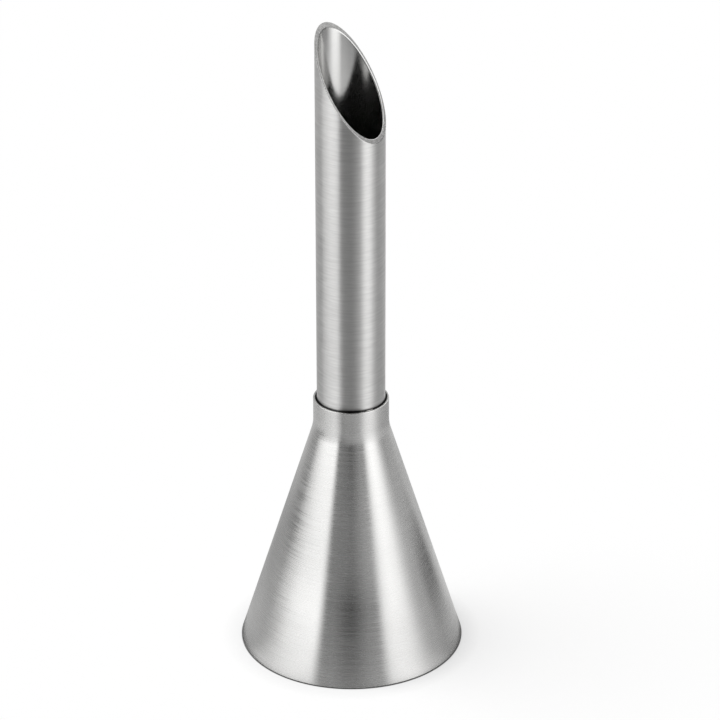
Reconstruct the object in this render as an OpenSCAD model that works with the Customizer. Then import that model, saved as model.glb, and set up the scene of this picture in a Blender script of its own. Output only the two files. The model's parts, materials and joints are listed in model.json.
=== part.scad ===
// Filling nozzle for a piping bag: a straight tube with a slant-cut mouth, soldered into the
// collar of a drawn sheet cone. It stands on the cone's base, with the origin at the middle of
// the base and the axis along +Z. The mouth's low side is towards +X. Sizes are millimetres.

/* [Whole nozzle] */
// Height from the rest plane to the tip of the mouth
nozzle_h = 71; // [60:0.5:90]

/* [Cone] */
// Outside diameter of the cone at its base, before the trimmed edge is rounded
base_d = 24.35; // [20:0.05:30]
// Thickness of the drawn sheet
sheet_t = 0.25; // [0.2:0.05:0.5]
// Height at which the cone's side would run into the collar
cone_h = 26; // [22:0.5:30]
// Height of the collar above that corner
collar_h = 3.2; // [2.6:0.1:5]
// Outside radius of the bend between cone and collar
bend_r = 5; // [2:0.5:8]

/* [Tube] */
// Outside diameter of the tube
tube_d = 7.35; // [5:0.05:9]
// Thickness of the tube's wall
tube_wall = 0.35; // [0.25:0.05:0.6]
// Slant of the mouth's plane against the rest plane, in degrees
mouth_angle = 57.2; // [30:0.1:65]

/* [Joint] */
// Gap all round between the tube and the collar
collar_gap = 0.15; // [0.05:0.05:0.3]
// Length of the tube below the collar's rim
tube_seat = 4; // [3.5:0.1:5]
// Height of the solder ring above the tube's foot
solder_h = 1.4; // [0.8:0.1:2]
// How much lower the solder ring reaches on the sheet than on the tube
solder_drop = 0.3; // [0.1:0.05:0.5]
// Number of solder spots in the gap at the collar's rim
spot_count = 2; // [1:1:6]
// Length of a solder spot, along the rim
spot_w = 1.7; // [0.5:0.1:3]
// Depth of a solder spot below the rim
spot_depth = 0.8; // [0.3:0.1:1.2]
// Direction of the first solder spot, in degrees round from the mouth's low side
spot_azimuth = -25; // [-180:1:180]

/* [Hidden] */
$fn = 96;

// Steps in each rounded corner of an outline
corner_steps = 12;
// Radius of the sheet's trimmed edges, as a share of its thickness
edge_round_share = 0.3;
// Hollow of the solder ring's underside, as a share of its width
hollow_share = 0.15;
// How far a cutting body runs past what it cuts
overrun = 1;

base_r = base_d / 2;
tube_r = tube_d / 2;
bore_r = tube_r - tube_wall;
collar_in_r = tube_r + collar_gap;
collar_r = collar_in_r + sheet_t;
rim_z = cone_h + collar_h;
foot_z = rim_z - tube_seat;
cone_angle = atan((base_r - collar_r) / cone_h);
edge_r = edge_round_share * sheet_t;

// Corners of the sheet's section, as [radius, height]
base_out = [base_r, 0];
bend_out = [collar_r, cone_h];
rim_out = [collar_r, rim_z];
rim_in = [collar_in_r, rim_z];
bend_in = [collar_in_r, cone_h - sheet_t * tan(cone_angle / 2)];
base_in = [base_r - sheet_t / cos(cone_angle), 0];

function unit(v) = v / norm(v);

// Radius of the sheet's inner face at a height, with its bend left out
function inner_r(z) = max(collar_in_r, base_in.x - z * tan(cone_angle));

// Points of the arc of radius r that rounds the corner at, on the way from before to after
function rounded(before, at, after, r) =
    let (
        arriving = unit(before - at),
        leaving = unit(after - at),
        half = acos(arriving * leaving) / 2,
        centre = at + unit(arriving + leaving) * r / sin(half),
        start = at + arriving * r / tan(half) - centre,
        side = sign(cross(at - before, after - at)),
        turn = side * (180 - 2 * half)
    )
    [
        for (i = [0 : corner_steps])
            let (a = turn * i / corner_steps)
            centre + [start.x * cos(a) - start.y * sin(a), start.x * sin(a) + start.y * cos(a)]
    ];

// The inner face of the sheet where the cone bends into the collar
inner_bend = rounded(rim_in, bend_in, base_in, bend_r + sheet_t);

// Section of the drawn sheet
module sheet_section() {
    polygon(concat(
        rounded(base_in, base_out, bend_out, edge_r),
        rounded(base_out, bend_out, rim_out, bend_r),
        rounded(bend_out, rim_out, rim_in, edge_r),
        rounded(rim_out, rim_in, bend_in, edge_r),
        inner_bend,
        rounded(bend_in, base_in, base_out, edge_r)
    ));
}

// Section of the space inside the sheet
module space_section() {
    polygon(concat([[0, 0], [0, rim_z], rim_in], inner_bend, [base_in]));
}

// Section of the solder between the tube and the sheet, hollow underneath
module solder_section() {
    low_z = foot_z - solder_drop;
    top_z = foot_z + solder_h;
    at_tube = [tube_r, foot_z];
    at_sheet = [inner_r(low_z), low_z];
    hollow = hollow_share * norm(at_sheet - at_tube);
    underside = [
        for (i = [0 : corner_steps])
            let (t = i / corner_steps)
            at_tube + (at_sheet - at_tube) * t + [0, hollow] * 4 * t * (1 - t)
    ];
    intersection() {
        space_section();
        polygon(concat(underside, [[base_r, low_z], [base_r, top_z], [tube_r, top_z]]));
    }
}

// Section of a solder spot: it fills the gap and stands in a small round crown at the rim
module spot_section() {
    translate([tube_r, rim_z - spot_depth])
        square([collar_gap, spot_depth]);
    intersection() {
        translate([tube_r + collar_gap / 2, rim_z])
            circle(d = collar_gap);
        translate([tube_r, rim_z])
            square([collar_gap, collar_gap]);
    }
}

// Everything above the slanted plane of the mouth
module above_mouth() {
    length = tube_d / cos(mouth_angle) + 2 * overrun;
    width = tube_d + 2 * overrun;
    translate([-tube_r, 0, nozzle_h])
        rotate([0, mouth_angle, 0])
            translate([-overrun, -width / 2, 0])
                cube([length, width, width]);
}

module bag_cone() {
    color("silver")
        rotate_extrude()
            sheet_section();
}

module filling_tube() {
    color("gainsboro")
        difference() {
            translate([0, 0, foot_z])
                cylinder(r = tube_r, h = nozzle_h - foot_z);
            translate([0, 0, foot_z - overrun])
                cylinder(r = bore_r, h = nozzle_h - foot_z + 2 * overrun);
            above_mouth();
        }
}

module solder_ring() {
    color("darkgray")
        rotate_extrude()
            solder_section();
}

module rim_solder_spots() {
    spot_angle = 180 * spot_w / (PI * tube_r);
    color("darkgray")
        for (i = [0 : spot_count - 1])
            rotate([0, 0, spot_azimuth + i * 360 / spot_count - spot_angle / 2])
                rotate_extrude(angle = spot_angle)
                    spot_section();
}

bag_cone();
filling_tube();
solder_ring();
rim_solder_spots();
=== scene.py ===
import json
import math

import bpy
from mathutils import Matrix, Vector, noise


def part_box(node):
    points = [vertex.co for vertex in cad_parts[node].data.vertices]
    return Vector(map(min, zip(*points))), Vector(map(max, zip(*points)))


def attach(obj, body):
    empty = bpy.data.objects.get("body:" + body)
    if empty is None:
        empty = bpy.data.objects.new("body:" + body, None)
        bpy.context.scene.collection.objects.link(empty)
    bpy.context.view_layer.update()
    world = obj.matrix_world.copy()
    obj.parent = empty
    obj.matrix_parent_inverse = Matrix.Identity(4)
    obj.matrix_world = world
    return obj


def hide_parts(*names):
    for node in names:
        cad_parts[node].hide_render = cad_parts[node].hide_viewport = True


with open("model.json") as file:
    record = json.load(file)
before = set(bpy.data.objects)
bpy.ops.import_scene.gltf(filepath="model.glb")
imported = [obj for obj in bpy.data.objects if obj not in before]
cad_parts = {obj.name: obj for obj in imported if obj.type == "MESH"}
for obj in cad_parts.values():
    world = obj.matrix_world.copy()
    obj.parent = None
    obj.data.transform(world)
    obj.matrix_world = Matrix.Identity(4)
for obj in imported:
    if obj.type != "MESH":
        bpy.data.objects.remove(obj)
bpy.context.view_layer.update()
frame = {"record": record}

# Sizes of the nozzle in metres: what the frame holds is read from it, the rest is named here
MM = 0.001
TUBE_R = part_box("filling_tube")[1].x
TIP_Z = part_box("filling_tube")[1].z
FOOT_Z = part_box("filling_tube")[0].z
RIM_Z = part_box("bag_cone")[1].z
MOUNTS = {mount["name"]: mount for mount in frame["record"]["mounts"]}
BORE_R = MOUNTS["cream_bore"]["dims"]["r_mm"] * MM
MOUTH_ANGLE = math.radians(57.2)
BASE_R = 12.175 * MM
CONE_H = 26 * MM
SHEET = 0.25 * MM
COLLAR_GAP = 0.15 * MM
COLLAR_IN_R = TUBE_R + COLLAR_GAP
COLLAR_R = COLLAR_IN_R + SHEET
BEND_R = 5 * MM
CONE_ANGLE = math.atan((BASE_R - COLLAR_R) / CONE_H)

# How far the solder ring reaches below and above the tube's foot
SOLDER_DROP = 0.3 * MM
SOLDER_RISE = 1.4 * MM
SOLDER_LOW_Z = FOOT_Z - SOLDER_DROP
SOLDER_TOP_Z = FOOT_Z + SOLDER_RISE

# The spots of filler in the gap at the collar's rim, with the angle of the first
SPOT_COUNT = 2
SPOT_W = 1.7 * MM
SPOT_DEPTH = 0.8 * MM
SPOT_TURN = math.radians(-25)

# Radii of the sheet's trimmed edges
BASE_EDGE_R = 0.12 * MM
RIM_EDGE_R = 0.07 * MM
RIM_INNER_R = 0.06 * MM
TRIM_R = 0.03 * MM

# How far the worn edges of the tube reach on each side of the corner
MOUTH_INNER_EDGE = 0.24 * MM
MOUTH_OUTER_EDGE = 0.035 * MM
FOOT_EDGE = 0.05 * MM

# How finely the meshes are divided
SEGMENTS = 320
REFLECTOR_SEGMENTS = 360
EDGE_STEPS = 8
BEND_STEPS = 24
WALL_STEPS = 24
MOUTH_STEPS = 4
FOOT_STEPS = 2
SOLDER_STEPS = 16
SPOT_STEPS = 72
SPOT_ARC_POINTS = 8
EDGE_SUPPORT = 0.04 * MM
EDGE_SUPPORT_SHARE = 0.25
LONGEST_STEP = 1.5 * MM

# Finishes of a steel piece, in the order of its material slots
OUTSIDE, INSIDE, EDGE = range(3)

# The photograph's view: its camera stands this far round from the -Y direction
VIEW_TURN = math.radians(40.1)
CAMERA_SIDE = 0.96 * MM
CAMERA_DISTANCE = 339.47 * MM
CAMERA_HEIGHT = 201.92 * MM
CAMERA_PITCH = math.radians(26.38)
CAMERA_ROLL = math.radians(-0.075)
CAMERA_NEAR = 10 * MM

# The camera's sensor and lens, in millimetres as the camera takes them
SENSOR_WIDTH = 36.0
LENS = 177.8


def unit(vector):
    return vector / vector.length


def half_corner(before, at, after):
    """Half the angle between the two sides that meet at a corner."""
    return math.acos(unit(before - at).dot(unit(after - at))) / 2


def rounded(before, at, after, radius, steps):
    """Points of the arc that rounds the corner at, on the way from before to after."""
    arriving = unit(before - at)
    leaving = unit(after - at)
    half = half_corner(before, at, after)
    centre = at + unit(arriving + leaving) * (radius / math.sin(half))
    start = at + arriving * (radius / math.tan(half)) - centre
    side = math.copysign(1, arriving.y * leaving.x - arriving.x * leaving.y)
    turn = side * (math.pi - 2 * half)
    points = []
    for i in range(steps + 1):
        angle = turn * i / steps
        x = start.x * math.cos(angle) - start.y * math.sin(angle)
        y = start.x * math.sin(angle) + start.y * math.cos(angle)
        points.append(centre + Vector((x, y)))
    return points


def outline(corners, side_steps=None):
    """A closed outline with rounded corners, as its points and the finish of the face after each.

    A corner is (point, radius, steps, finish of its arc, finish of the side after it).
    Each side has a point close to either end, which keeps it flat up to the arc.
    Without side_steps, each side is divided into steps no longer than LONGEST_STEP.
    """
    places = [corner[0] for corner in corners]
    arcs = []
    for i, (at, radius, steps, _, _) in enumerate(corners):
        before = places[i - 1]
        after = places[(i + 1) % len(places)]
        arcs.append(rounded(before, at, after, radius, steps))
    points = []
    finishes = []
    for i, (_, _, _, arc_finish, side_finish) in enumerate(corners):
        points += arcs[i]
        finishes += [arc_finish] * (len(arcs[i]) - 1) + [side_finish]
        start = arcs[i][-1]
        end = arcs[(i + 1) % len(arcs)][0]
        way = unit(end - start)
        inset = min(EDGE_SUPPORT, (end - start).length * EDGE_SUPPORT_SHARE)
        first = start + way * inset
        last = end - way * inset
        steps = side_steps[i] if side_steps else math.ceil((last - first).length / LONGEST_STEP)
        for k in range(steps + 1):
            points.append(first.lerp(last, k / steps))
            finishes.append(side_finish)
    return points, finishes


def add_object(name, data):
    made = bpy.data.objects.new(name, data)
    bpy.context.scene.collection.objects.link(made)
    return made


def smooth_mesh(name, corners, faces, indices):
    mesh = bpy.data.meshes.new(name)
    mesh.from_pydata([tuple(corner) for corner in corners], [], faces)
    mesh.polygons.foreach_set("use_smooth", [True] * len(faces))
    mesh.polygons.foreach_set("material_index", indices)
    mesh.update()
    return add_object(name, mesh)


def ring_mesh(name, rows, finishes):
    """A quad mesh from rows of points round the axis, with a material index for each strip.

    A strip joins a row to the next. With as many strips as rows, the last one joins the last row
    to the first, and the mesh is closed.
    """
    count = len(rows[0])
    faces = []
    indices = []
    for i, finish in enumerate(finishes):
        here = i * count
        there = (i + 1) % len(rows) * count
        for j in range(count):
            beside = (j + 1) % count
            faces.append((here + j, here + beside, there + beside, there + j))
            indices.append(finish)
    return smooth_mesh(name, [point for row in rows for point in row], faces, indices)


def angles(count):
    """The angles that divide a full turn into so many equal steps."""
    return [2 * math.pi * j / count for j in range(count)]


def round_about(r, z, angle):
    """The place at a radius and a height, at an angle round the axis."""
    return Vector((r * math.cos(angle), r * math.sin(angle), z))


def turned(section, lift):
    """Rows of points round the axis, one for each point of a section.

    Lift takes the number of the row and a place in it, and says how far that place rises.
    """
    rows = []
    for i, point in enumerate(section):
        row = []
        for angle in angles(SEGMENTS):
            spot = round_about(point.x, point.y, angle)
            spot.z += lift(i, spot)
            row.append(spot)
        rows.append(row)
    return rows


def waver(place, size, seed):
    """A smooth value between about -1 and 1 that changes over a distance of about size."""
    return noise.noise(place / size + Vector((seed, 0, 0)))


# Corners of the sheet's section, as radius and height
BASE_OUT = Vector((BASE_R, 0))
BEND_OUT = Vector((COLLAR_R, CONE_H))
RIM_OUT = Vector((COLLAR_R, RIM_Z))
RIM_IN = Vector((COLLAR_IN_R, RIM_Z))
BEND_IN = Vector((COLLAR_IN_R, CONE_H - SHEET * math.tan(CONE_ANGLE / 2)))
BASE_IN = Vector((BASE_R - SHEET / math.cos(CONE_ANGLE), 0))


def cone_outline():
    """The drawn sheet's section: a plain cone that bends into a short straight collar."""
    return outline([
        (BASE_OUT, BASE_EDGE_R, EDGE_STEPS, EDGE, OUTSIDE),
        (BEND_OUT, BEND_R, BEND_STEPS, OUTSIDE, OUTSIDE),
        (RIM_OUT, RIM_EDGE_R, EDGE_STEPS, EDGE, EDGE),
        (RIM_IN, RIM_INNER_R, EDGE_STEPS, INSIDE, INSIDE),
        (BEND_IN, BEND_R + SHEET, BEND_STEPS, INSIDE, INSIDE),
        (BASE_IN, TRIM_R, EDGE_STEPS, EDGE, EDGE),
    ])


def make_cone():
    """The drawn cone, whose collar ends in a slightly uneven trimmed rim."""
    trim_depth = 0.012 * MM
    waver_size = 0.35 * MM
    seed = 3
    points, finishes = cone_outline()

    def lift(_, spot):
        if spot.z <= RIM_Z - 2 * TRIM_R:
            return 0
        return -trim_depth * (0.5 + 0.5 * waver(spot, waver_size, seed))

    return ring_mesh("bag_cone_skin", turned(points, lift), finishes)


def mouth_z(r, angle):
    """Height of the mouth's slanted plane over a point of the tube."""
    return TIP_Z - math.tan(MOUTH_ANGLE) * (TUBE_R + r * math.cos(angle))


def mouth_wear(angle):
    """Share of the inner edge's wear at an angle: most at the mouth's sides, least at its tip."""
    return 0.75 + 0.15 * math.cos(angle) - 0.2 * math.cos(2 * angle)


def tube_outline(angle):
    """Section of the tube's wall in the plane through the axis at an angle."""
    foot_in = Vector((BORE_R, FOOT_Z))
    mouth_in = Vector((BORE_R, mouth_z(BORE_R, angle)))
    mouth_out = Vector((TUBE_R, mouth_z(TUBE_R, angle)))
    foot_out = Vector((TUBE_R, FOOT_Z))
    inner_reach = MOUTH_INNER_EDGE * mouth_wear(angle)
    inner_radius = inner_reach * math.tan(half_corner(foot_in, mouth_in, mouth_out))
    outer_radius = MOUTH_OUTER_EDGE * math.tan(half_corner(mouth_in, mouth_out, foot_out))
    corners = [
        (foot_in, FOOT_EDGE, EDGE_STEPS, INSIDE, INSIDE),
        (mouth_in, inner_radius, EDGE_STEPS, EDGE, EDGE),
        (mouth_out, outer_radius, EDGE_STEPS, EDGE, OUTSIDE),
        (foot_out, FOOT_EDGE, EDGE_STEPS, OUTSIDE, EDGE),
    ]
    return outline(corners, (WALL_STEPS, MOUTH_STEPS, WALL_STEPS, FOOT_STEPS))


def make_tube():
    """The filling tube, whose section changes round the axis with the slant of its mouth."""
    columns = []
    for angle in angles(SEGMENTS):
        points, finishes = tube_outline(angle)
        columns.append([round_about(point.x, point.y, angle) for point in points])
    rows = [list(row) for row in zip(*columns)]
    return ring_mesh("filling_tube_skin", rows, finishes)


def inner_face_r(z):
    """Radius of the sheet's inner face at a height inside its bend."""
    bend = rounded(RIM_IN, BEND_IN, BASE_IN, BEND_R + SHEET, BEND_STEPS)
    path = [RIM_IN] + bend + [BASE_IN]
    for upper, lower in zip(path, path[1:]):
        if lower.y <= z <= upper.y:
            return upper.lerp(lower, (upper.y - z) / (upper.y - lower.y)).x
    return BASE_IN.x


def make_solder_ring():
    """Filler metal between the tube's foot and the sheet, with a hollow, slightly uneven underside.

    Slack keeps its skin just clear of the tube's and the sheet's.
    """
    slack = 0.004 * MM
    hollow_share = 0.15
    uneven = 0.06 * MM
    waver_size = 0.9 * MM
    seed = 11
    at_tube = Vector((TUBE_R + slack, FOOT_Z))
    at_sheet = Vector((inner_face_r(SOLDER_LOW_Z) - slack, SOLDER_LOW_Z))
    hollow = hollow_share * (at_sheet - at_tube).length
    points = []
    for i in range(SOLDER_STEPS + 1):
        share = i / SOLDER_STEPS
        points.append(at_tube.lerp(at_sheet, share) + Vector((0, hollow * 4 * share * (1 - share))))
    for i in range(1, SOLDER_STEPS + 1):
        z = SOLDER_LOW_Z + (SOLDER_TOP_Z - SOLDER_LOW_Z) * i / SOLDER_STEPS
        points.append(Vector((inner_face_r(z) - slack, z)))
    points.append(Vector((TUBE_R + slack, SOLDER_TOP_Z)))
    points.append(Vector((TUBE_R + slack, (SOLDER_TOP_Z + FOOT_Z) / 2)))

    def lift(i, spot):
        across = max(0, 1 - abs(2 * i / SOLDER_STEPS - 1))
        return uneven * across * (1 + waver(spot, waver_size, seed))

    return ring_mesh("solder_ring_skin", turned(points, lift), [0] * len(points))


def spot_section(low, high, half_width, taper):
    """Section of a rim spot across the gap, as offset and height: its two ends are half circles.

    Low and high are the centres of these half circles. Taper, from 1 down to 0, shrinks the whole.
    """
    middle = (high + low) / 2
    section = []
    for end, start in ((high, 0), (low, math.pi)):
        for k in range(SPOT_ARC_POINTS):
            bend = start + math.pi * k / (SPOT_ARC_POINTS - 1)
            z = middle + taper * (end + half_width * math.sin(bend) - middle)
            section.append((taper * half_width * math.cos(bend), z))
    return section


def spot_faces(first, count):
    """Faces of one rim spot, whose sections hold count points each: its skin and its two ends."""
    faces = []
    for i in range(SPOT_STEPS):
        here = first + i * count
        for k in range(count):
            beside = (k + 1) % count
            faces.append((here + k, here + beside, here + count + beside, here + count + k))
    last = first + SPOT_STEPS * count
    faces.append(tuple(range(first, first + count))[::-1])
    faces.append(tuple(range(last, last + count)))
    return faces


def make_rim_spots():
    """Filler metal in the gap at the collar's rim: each spot is a run of small uneven beads.

    A spot narrows over its end_share to an end that is small but still open, set by end_nudge.
    """
    slack = 0.002 * MM
    bead_drop = 0.05 * MM
    bead_height = 0.12 * MM
    bead_size = 0.17 * MM
    bead_contrast = 1.6
    seed = 5
    end_share = 0.1
    end_nudge = 0.02
    middle = (TUBE_R + COLLAR_IN_R) / 2
    half_width = COLLAR_GAP / 2 - slack
    low = RIM_Z - SPOT_DEPTH + half_width
    corners = []
    faces = []
    for turn in angles(SPOT_COUNT):
        faces += spot_faces(len(corners), 2 * SPOT_ARC_POINTS)
        for i in range(SPOT_STEPS + 1):
            along = 2 * (i + end_nudge) / (SPOT_STEPS + 2 * end_nudge) - 1
            angle = SPOT_TURN + turn + along * SPOT_W / (2 * TUBE_R)
            taper = math.sqrt(1 - max(0, (abs(along) - (1 - end_share)) / end_share) ** 2)
            bead = min(1, bead_contrast * waver(round_about(middle, RIM_Z, angle), bead_size, seed))
            high = RIM_Z - half_width - bead_drop + bead_height * bead
            for offset, z in spot_section(low, high, half_width, taper):
                corners.append(round_about(middle + offset, z, angle))
    return smooth_mesh("rim_spots_skin", corners, faces, [0] * len(faces))


# The span in which most values of a noise node lie
NOISE_LOW = 0.3
NOISE_HIGH = 0.7

# How densely each kind of grain lies per metre, round the axis and up it
FINE_LINES = (700, 9000)
CONE_LINES = (220, 7000)
TUBE_LINES = (500, 5000)
EDGE_GRAIN = (3500, 3500)
SOLDER_GRAIN = (3000, 3000)
PATCHES = (250, 400)
STAIN_AND_SHADE_GRAIN = (500, 500)

# How far the patches lighten or darken any steel
PATCH_CONTRAST = 0.02

# The darkening at the soldered joint, partly its stain and partly painted shade in the gap between
# tube and collar: the share of the colour that it leaves, and its uneven edge
STAIN_AND_SHADE_LEAVES = 0.12
STAIN_AND_SHADE_WAVER = 0.05 * MM

# The spans of heights over which the joint's stain and painted shade clear, up the tube and down
# inside the cone
STAIN_AND_SHADE_UP = (RIM_Z + 0.05 * MM, RIM_Z + 0.2 * MM)
STAIN_AND_SHADE_DOWN = (RIM_Z - 1 * MM, RIM_Z - 3.5 * MM)

# A weaker darkening on one side of the joint, partly a smear and partly painted shade: the share of
# the colour that it takes, the span across which it sets in towards that side, and the span of
# heights over which it clears
SMEAR_AND_SHADE_TURN = math.radians(-50)
SMEAR_AND_SHADE_SIDE = Vector((math.cos(SMEAR_AND_SHADE_TURN), math.sin(SMEAR_AND_SHADE_TURN), 0))
SMEAR_AND_SHADE_TAKES = 0.5
SMEAR_AND_SHADE_SETS_IN = (0.93 * TUBE_R, 0.99 * TUBE_R)
SMEAR_AND_SHADE_CLEARS = (RIM_Z + 0.1 * MM, RIM_Z + 0.45 * MM)


def node(tree, kind, settings=None, feeds=(), **inputs):
    """Adds a shader node. Feeds fill its inputs in order, and the rest are named by their labels."""
    made = tree.nodes.new(kind)
    for name, value in (settings or {}).items():
        setattr(made, name, value)
    sockets = list(zip(made.inputs, feeds))
    sockets += [(made.inputs[label.replace("_", " ")], value) for label, value in inputs.items()]
    for socket, value in sockets:
        if isinstance(value, bpy.types.NodeSocket):
            tree.links.new(value, socket)
        else:
            socket.default_value = value
    return made


def new_tree(owner):
    owner.use_nodes = True
    owner.node_tree.nodes.clear()
    return owner.node_tree


def new_material(name):
    """A new material and its empty tree of nodes."""
    made = bpy.data.materials.new(name)
    return made, new_tree(made)


def grey(level):
    return (level, level, level, 1)


def math_node(tree, operation, *values):
    return node(tree, "ShaderNodeMath", {"operation": operation}, values).outputs[0]


def product(tree, first, second):
    return math_node(tree, "MULTIPLY", first, second)


def remap(tree, value, low, high, start=NOISE_LOW, end=NOISE_HIGH):
    """Brings a value from its span, start to end, to the span from low to high."""
    return node(tree, "ShaderNodeMapRange", None, (value, start, end, low, high)).outputs[0]


def own_place(tree):
    """Each point's place in the object's own space, which is the frame's."""
    return node(tree, "ShaderNodeTexCoord").outputs["Object"]


def from_middle(tree, place):
    """Distance of a place from the origin, where the axis meets the floor."""
    return node(tree, "ShaderNodeVectorMath", {"operation": "LENGTH"}, (place,)).outputs["Value"]


def emission(tree, colour, strength=1):
    return node(tree, "ShaderNodeEmission", Color=colour, Strength=strength).outputs[0]


def mixed(tree, share, first, second):
    """A shader that goes from the first to the second as the share goes from 0 to 1."""
    return node(tree, "ShaderNodeMixShader", None, (share, first, second)).outputs[0]


def grain(tree, place, density, detail):
    """Noise with its density given per metre round the axis and per metre up it."""
    across, along = density
    stretched = node(tree, "ShaderNodeMapping", Vector=place, Scale=(across, across, along))
    cloud = node(tree, "ShaderNodeTexNoise", Vector=stretched.outputs[0], Scale=1, Detail=detail)
    return cloud.outputs["Fac"]


def stained_and_shaded(tree, place, shade, clears):
    """A shade darkened at the soldered joint, which clears over a span of heights: partly the joint's
    stain, partly painted shade in the gap.

    The smear, which is partly painted shade too, takes its part of all that lies far enough to its
    side and below its own height.
    """
    height = node(tree, "ShaderNodeSeparateXYZ", Vector=place).outputs["Z"]
    uneven = remap(tree, grain(tree, place, STAIN_AND_SHADE_GRAIN, 1), -STAIN_AND_SHADE_WAVER, STAIN_AND_SHADE_WAVER)
    level = math_node(tree, "ADD", height, uneven)
    toward = node(tree, "ShaderNodeVectorMath", {"operation": "DOT_PRODUCT"}, (place, SMEAR_AND_SHADE_SIDE))
    side = remap(tree, toward.outputs["Value"], 0, SMEAR_AND_SHADE_TAKES, *SMEAR_AND_SHADE_SETS_IN)
    smear_and_shade = product(tree, side, remap(tree, level, 1, 0, *SMEAR_AND_SHADE_CLEARS))
    shade = product(tree, shade, remap(tree, level, STAIN_AND_SHADE_LEAVES, 1, *clears))
    return product(tree, shade, math_node(tree, "SUBTRACT", 1, smear_and_shade))


def steel(name, colour, roughness, anisotropic, contrast, swing, relief, lines=FINE_LINES, stain_and_shade=None):
    """Stainless steel brushed round the axis: fine lines in colour, roughness and relief.

    Contrast is the lines' share of the colour, swing what they add to the roughness or take off,
    and relief their depth. The last argument is the span of heights over which the joint's darkening
    clears. That darkening is partly its stain and partly painted shade in the gap.
    """
    made, tree = new_material(name)
    place = own_place(tree)
    brushed = grain(tree, place, lines, 3)
    patches = grain(tree, place, PATCHES, 2)
    lined = remap(tree, brushed, 1 - contrast, 1 + contrast)
    shade = product(tree, lined, remap(tree, patches, 1 - PATCH_CONTRAST, 1 + PATCH_CONTRAST))
    # Painted shade: the joint's darkening is partly a stain and partly shade painted into the gap
    if stain_and_shade:
        shade = stained_and_shaded(tree, place, shade, stain_and_shade)
    tint = node(tree, "ShaderNodeVectorMath", {"operation": "SCALE"}, (colour,), Scale=shade)
    bump = node(tree, "ShaderNodeBump", Height=brushed, Strength=1, Distance=relief)
    tangent = node(tree, "ShaderNodeTangent", {"direction_type": "RADIAL", "axis": "Z"})
    shader = node(
        tree, "ShaderNodeBsdfPrincipled", Metallic=1,
        Anisotropic=anisotropic, Anisotropic_Rotation=0.25, Tangent=tangent.outputs[0],
        Base_Color=tint.outputs[0], Normal=bump.outputs[0],
        Roughness=remap(tree, brushed, roughness - swing, roughness + swing),
    )
    node(tree, "ShaderNodeOutputMaterial", Surface=shader.outputs[0])
    return made


def dress(piece, node_name, materials):
    """Gives a piece its materials, hangs it on the root body and hides the node that it stands for."""
    for material in materials:
        piece.data.materials.append(material)
    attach(piece, "root")
    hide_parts(node_name)


def make_camera():
    view = bpy.data.cameras.new("view")
    view.sensor_width = SENSOR_WIDTH
    view.lens = LENS
    view.clip_start = CAMERA_NEAR
    camera = add_object("view", view)
    turn = Matrix.Rotation(VIEW_TURN, 4, "Z")
    stand = Matrix.Translation((CAMERA_SIDE, -CAMERA_DISTANCE, CAMERA_HEIGHT))
    tilt = Matrix.Rotation(math.pi / 2 - CAMERA_PITCH, 4, "X")
    roll = Matrix.Rotation(CAMERA_ROLL, 4, "Z")
    camera.matrix_world = turn @ stand @ tilt @ roll
    bpy.context.scene.camera = camera


# Strength of the world's light, which only the floor takes
WORLD_LIGHT = 0.4

# The key light is a sun with a wide disc. It leans to the left of the view, a little to its back.
KEY_STRENGTH = 2.02
KEY_WIDTH = math.radians(36)
KEY_SWING = math.radians(-8)
KEY_TILT = math.radians(-24)

# The floor's size in metres, its grey and its glow. Outside the shadow, the lit grey and the glow
# add up to white.
FLOOR_REACH = 2.0
FLOOR_GREY = 0.4
FLOOR_GLOW = 0.605

# The glow sets in under the edge of the foot, so a thin dim line just outside it is a painted
# contact shadow. Close to the foot the glow grows from this share to its full strength at the last
# radius, which is painted contact shadow too.
GLOW_SETS_IN = (BASE_R - 0.05 * MM, BASE_R + 0.03 * MM)
CONTACT_SHADE_GLOW_SHARE = 0.86
CONTACT_SHADE_END_R = BASE_R + 2.2 * MM

# Sections of the two reflectors, as radius and height in millimetres: a bowl with a floor, a wall
# and a roof, and a low ring that stands so close that only the lower part of the cone reflects it
BOWL = [(13, 0.1), (50, 0.4), (130, 1), (130, 300), (1, 300.1)]
RING = [(30, 0.5), (30, 10)]

# The ground that the bowl leaves open, with an overlap, looks dark where the metal reflects it:
# painted shade of the contact at the foot, which only reflections see
GROUND_OVERLAP = 0.05 * MM
GROUND_R = BOWL[0][0] * MM + GROUND_OVERLAP
REFLECTED_SHADE_GREY = 0.1


def seen_directly(tree):
    """1 for rays from the camera and for those that metal or glass sends on, 0 for the rest."""
    path = node(tree, "ShaderNodeLightPath").outputs
    first = math_node(tree, "MAXIMUM", path["Is Camera Ray"], path["Is Glossy Ray"])
    return math_node(tree, "MAXIMUM", first, path["Is Transmission Ray"])


def make_world():
    world = bpy.data.worlds.new("studio")
    bpy.context.scene.world = world
    tree = new_tree(world)
    light = node(tree, "ShaderNodeBackground", Color=grey(1), Strength=WORLD_LIGHT).outputs[0]
    white = node(tree, "ShaderNodeBackground", Color=grey(1), Strength=1).outputs[0]
    node(tree, "ShaderNodeOutputWorld", Surface=mixed(tree, seen_directly(tree), light, white))


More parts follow.
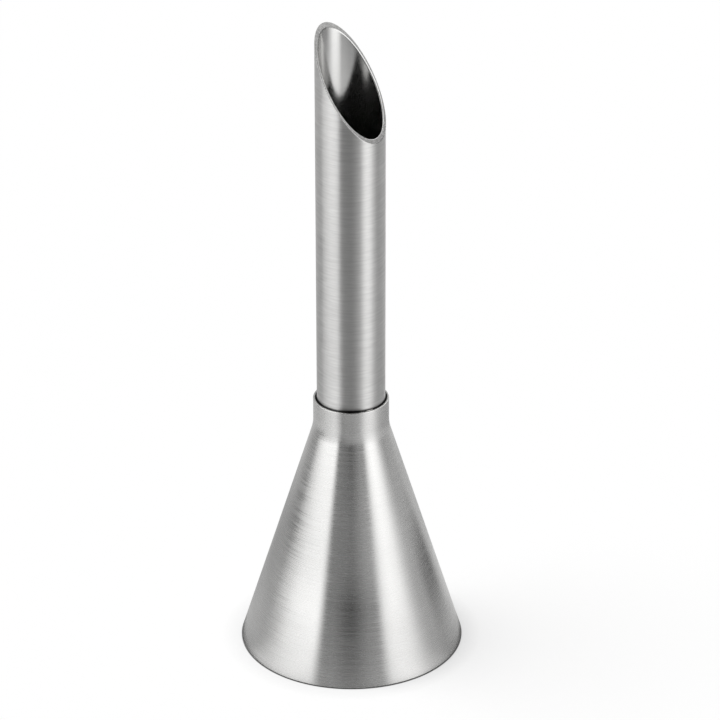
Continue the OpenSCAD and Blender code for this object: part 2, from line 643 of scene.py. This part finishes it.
def make_floor():
    """A pale floor that keeps the nozzle's shadow; no light comes up from under the nozzle.

    Its glow is dimmed close to the foot as a painted contact shadow, and reflections see the ground
    near the foot dark grey, as painted shade.
    """
    reach = FLOOR_REACH
    corners = [(-reach, -reach, 0), (reach, -reach, 0), (reach, reach, 0), (-reach, reach, 0)]
    mesh = bpy.data.meshes.new("floor")
    mesh.from_pydata(corners, [], [(0, 1, 2, 3)])
    floor = add_object("floor", mesh)
    made, tree = new_material("floor")
    away = from_middle(tree, own_place(tree))
    outside = remap(tree, away, 0, FLOOR_GLOW, *GLOW_SETS_IN)
    # Painted contact shadow: the glow is dimmed close to the foot
    painted_contact_shade = remap(tree, away, CONTACT_SHADE_GLOW_SHARE, 1, BASE_R, CONTACT_SHADE_END_R)
    matt = node(tree, "ShaderNodeBsdfDiffuse", Color=grey(FLOOR_GREY)).outputs[0]
    shine = emission(tree, grey(1), product(tree, outside, painted_contact_shade))
    pale = node(tree, "ShaderNodeAddShader", None, (matt, shine)).outputs[0]
    close = math_node(tree, "LESS_THAN", away, GROUND_R)
    mirrored = node(tree, "ShaderNodeLightPath").outputs["Is Glossy Ray"]
    # Painted shade: reflections see the floor near the foot dark grey
    ground = mixed(tree, product(tree, close, mirrored), pale, emission(tree, grey(REFLECTED_SHADE_GREY)))
    node(tree, "ShaderNodeOutputMaterial", Surface=ground)
    made.cycles.emission_sampling = "NONE"
    floor.data.materials.append(made)


def make_key_light():
    """A large soft light from the left, which lays the faint shadow on the right."""
    lamp = bpy.data.lights.new("key_light", "SUN")
    lamp.energy = KEY_STRENGTH
    lamp.angle = KEY_WIDTH
    key = add_object("key_light", lamp)
    turn = Matrix.Rotation(VIEW_TURN, 4, "Z")
    swing = Matrix.Rotation(KEY_SWING, 4, "Z")
    tilt = Matrix.Rotation(KEY_TILT, 4, "Y")
    key.matrix_world = turn @ swing @ tilt
    key.visible_glossy = False


# What the nozzle reflects, as degrees round from the camera (positive to its right) and brightness.
# The bowl's inner floor, which the cone reflects close to its foot
NEAR_LIGHT = [
    (-180, 0.9), (-140, 0.5), (-112, 0.6), (-91, 0.55), (-78, 0.5), (-72, 0.8), (-66, 1),
    (-50, 1.05), (-38, 1.05), (-28, 0.7), (-22, 0.55), (20, 0.58), (30, 1.1), (38, 1.4),
    (45, 1.2), (52, 0.95), (64, 0.65), (70, 0.45), (77, 0.4), (90, 0.5), (140, 0.8),
]

# The middle of the floor, which the collar reflects
COLLAR_LIGHT = [
    (-180, 0.6), (-145, 0.65), (-126, 0.85), (-110, 1.1), (-95, 1.3), (-82, 1.3), (-70, 1.25),
    (-60, 1.1), (-50, 1.1), (-41, 0.75), (-31, 0.5), (-22, 0.52), (-13, 0.38), (-4, 0.25),
    (13, 0.27), (22, 0.32), (31, 0.4), (42, 0.82), (52, 0.98), (62, 1.07), (72, 0.95),
    (82, 0.65), (95, 0.57), (109, 0.45), (126, 0.3), (150, 0.3),
]

# The outer floor and the foot of the wall, which the tube reflects
LOW_LIGHT = [
    (-180, 0.85), (-135, 0.5), (-105, 0.1), (-90, 0), (-75, 0.35), (-52, 0.65), (-42, 0.6),
    (-33, 0.3), (-22, 0.3), (-8, 0.75), (20, 0.8), (32, 0.85), (45, 1.1), (65, 1.2),
    (82, 0.85), (100, 0.75), (118, 0.65),
]

# The wall, which the cone and the bore reflect
SIDE_LIGHT = [
    (-180, 0.5), (-130, 0.55), (-105, 0.85), (-90, 2), (-70, 1.98), (-52, 1.78), (-40, 1.88),
    (-31, 0.15), (-24, 0.27), (-12, 0.1), (0, 0), (10, 0.12), (20, 0.27), (31, 0.25),
    (42, 1.5), (52, 1.83), (65, 1.6), (80, 0.7), (92, 0.12), (110, 0.12), (132, 0.15),
    (146, 0.4), (154, 1.3), (166, 1.3), (173, 0.5),
]

# The upper wall and the roof, which the rim of the mouth reflects
HIGH_LIGHT = [
    (-180, 0.5), (-165, 0.6), (-150, 1.2), (-125, 0.8), (-100, 0.6), (-84, 1.2), (-70, 1.85),
    (-58, 2), (-45, 1.1), (-30, 0.1), (25, 0.1), (37, 0.65), (52, 1.9), (60, 2.15),
    (75, 1.5), (87, 0.4), (103, 0.3), (112, 1.6), (160, 2), (172, 0.5),
]

# The low ring
RING_LIGHT = [
    (-180, 0.5), (-125, 0.4), (-94, 0.42), (-84, 0.6), (-75, 0.73), (-67, 1), (-60, 1.15),
    (-47, 1.28), (-34, 1.4), (-27, 0.2), (-17, 0.26), (-5, 0.13), (3, 0.12), (10, 0.23),
    (18, 0.32), (26, 0.3), (34, 1.15), (43, 1.2), (56, 1.25), (63, 1.05), (70, 0.78),
    (78, 0.62), (87, 0.55), (97, 0.25), (115, 0.12), (130, 0.6),
]

# The way in which a light takes over from the one before it: out from the middle or up the wall
OUT, UP = range(2)

# The bowl's lights after the nearest, each with the span in millimetres over which it takes over
BOWL_LIGHTS = [
    (COLLAR_LIGHT, OUT, 30, 40),
    (LOW_LIGHT, OUT, 60, 68),
    (SIDE_LIGHT, UP, 12, 24),
    (HIGH_LIGHT, UP, 70, 115),
]


def panels(tree, share, stops):
    """A band of light whose brightness runs through the stops; share is the way round, 0 to 1.

    The last stop brings back the first one's brightness. A new ramp already holds two stops.
    """
    ramp = node(tree, "ShaderNodeValToRGB", Fac=share)
    elements = ramp.color_ramp.elements
    for i, (degrees, level) in enumerate(stops + [(180, stops[0][1])]):
        spot = (degrees + 180) / 360
        element = elements[i] if i < 2 else elements.new(spot)
        element.position = spot
        element.color = grey(level)
    return emission(tree, ramp.outputs[0])


def make_reflector(name, section, nearest, others=()):
    """A surface round the nozzle that only reflections see, lit like soft boxes and dark cards.

    The nearest light is the one close to the nozzle, and each of the others is given as its stops,
    the way in which it takes over, and the start and end of that change in millimetres.
    """
    rows = []
    for r, z in section:
        rows.append([round_about(r * MM, z * MM, angle) for angle in angles(REFLECTOR_SEGMENTS)])
    reflector = ring_mesh(name, rows, [0] * (len(rows) - 1))
    made, tree = new_material(name)
    place = own_place(tree)
    turned_place = node(
        tree, "ShaderNodeMapping", Vector=place, Rotation=(0, 0, math.pi / 2 - VIEW_TURN))
    parts = node(tree, "ShaderNodeSeparateXYZ", Vector=turned_place.outputs[0]).outputs
    angle = math_node(tree, "ARCTAN2", parts["Y"], parts["X"])
    share = remap(tree, angle, 0, 1, -math.pi, math.pi)
    measures = {OUT: from_middle(tree, place), UP: parts["Z"]}
    shine = panels(tree, share, nearest)
    for stops, way, start, end in others:
        change = remap(tree, measures[way], 0, 1, start * MM, end * MM)
        shine = mixed(tree, change, shine, panels(tree, share, stops))
    node(tree, "ShaderNodeOutputMaterial", Surface=shine)
    made.cycles.emission_sampling = "NONE"
    reflector.data.materials.append(made)
    reflector.visible_camera = False
    reflector.visible_diffuse = False
    reflector.visible_shadow = False
    reflector.visible_transmission = False


make_camera()
make_world()
make_floor()
make_key_light()
make_reflector("reflector_bowl", BOWL, NEAR_LIGHT, BOWL_LIGHTS)
make_reflector("reflector_ring", RING, RING_LIGHT)

# Colours of the metal
STEEL = (0.63, 0.628, 0.62)
CONE_STEEL = (0.655, 0.652, 0.644)
BORE_STEEL = (0.6, 0.598, 0.59)
SOLDER = (0.6, 0.59, 0.57)

cone_steel = steel(
    "cone_steel", CONE_STEEL, roughness=0.27, anisotropic=0.9,
    contrast=0.02, swing=0.055, relief=0.003 * MM, lines=CONE_LINES,
)
# The tube is darker at and just above the joint: partly a stain, partly painted shade
tube_steel = steel(
    "tube_steel", STEEL, roughness=0.42, anisotropic=0.95,
    contrast=0.1, swing=0.05, relief=0.002 * MM, lines=TUBE_LINES, stain_and_shade=STAIN_AND_SHADE_UP,
)
bore_steel = steel(
    "bore_steel", BORE_STEEL, roughness=0.17, anisotropic=0.2,
    contrast=0.02, swing=0.03, relief=0.0005 * MM,
)
edge_steel = steel(
    "edge_steel", STEEL, roughness=0.25, anisotropic=0,
    contrast=0.08, swing=0.04, relief=0.001 * MM, lines=EDGE_GRAIN,
)
# The collar's inner face is darker down from the rim: partly a stain, partly painted shade in the gap
inner_steel = steel(
    "inner_steel", STEEL, roughness=0.42, anisotropic=0.8,
    contrast=0.05, swing=0.05, relief=0.002 * MM, stain_and_shade=STAIN_AND_SHADE_DOWN,
)
solder = steel(
    "solder", SOLDER, roughness=0.3, anisotropic=0,
    contrast=0.15, swing=0.1, relief=0.01 * MM, lines=SOLDER_GRAIN,
)

dress(make_cone(), "bag_cone", (cone_steel, inner_steel, edge_steel))
dress(make_tube(), "filling_tube", (tube_steel, bore_steel, edge_steel))
dress(make_solder_ring(), "solder_ring", (solder,))
dress(make_rim_spots(), "rim_solder_spots", (solder,))

bpy.context.scene.view_settings.view_transform = "Standard"
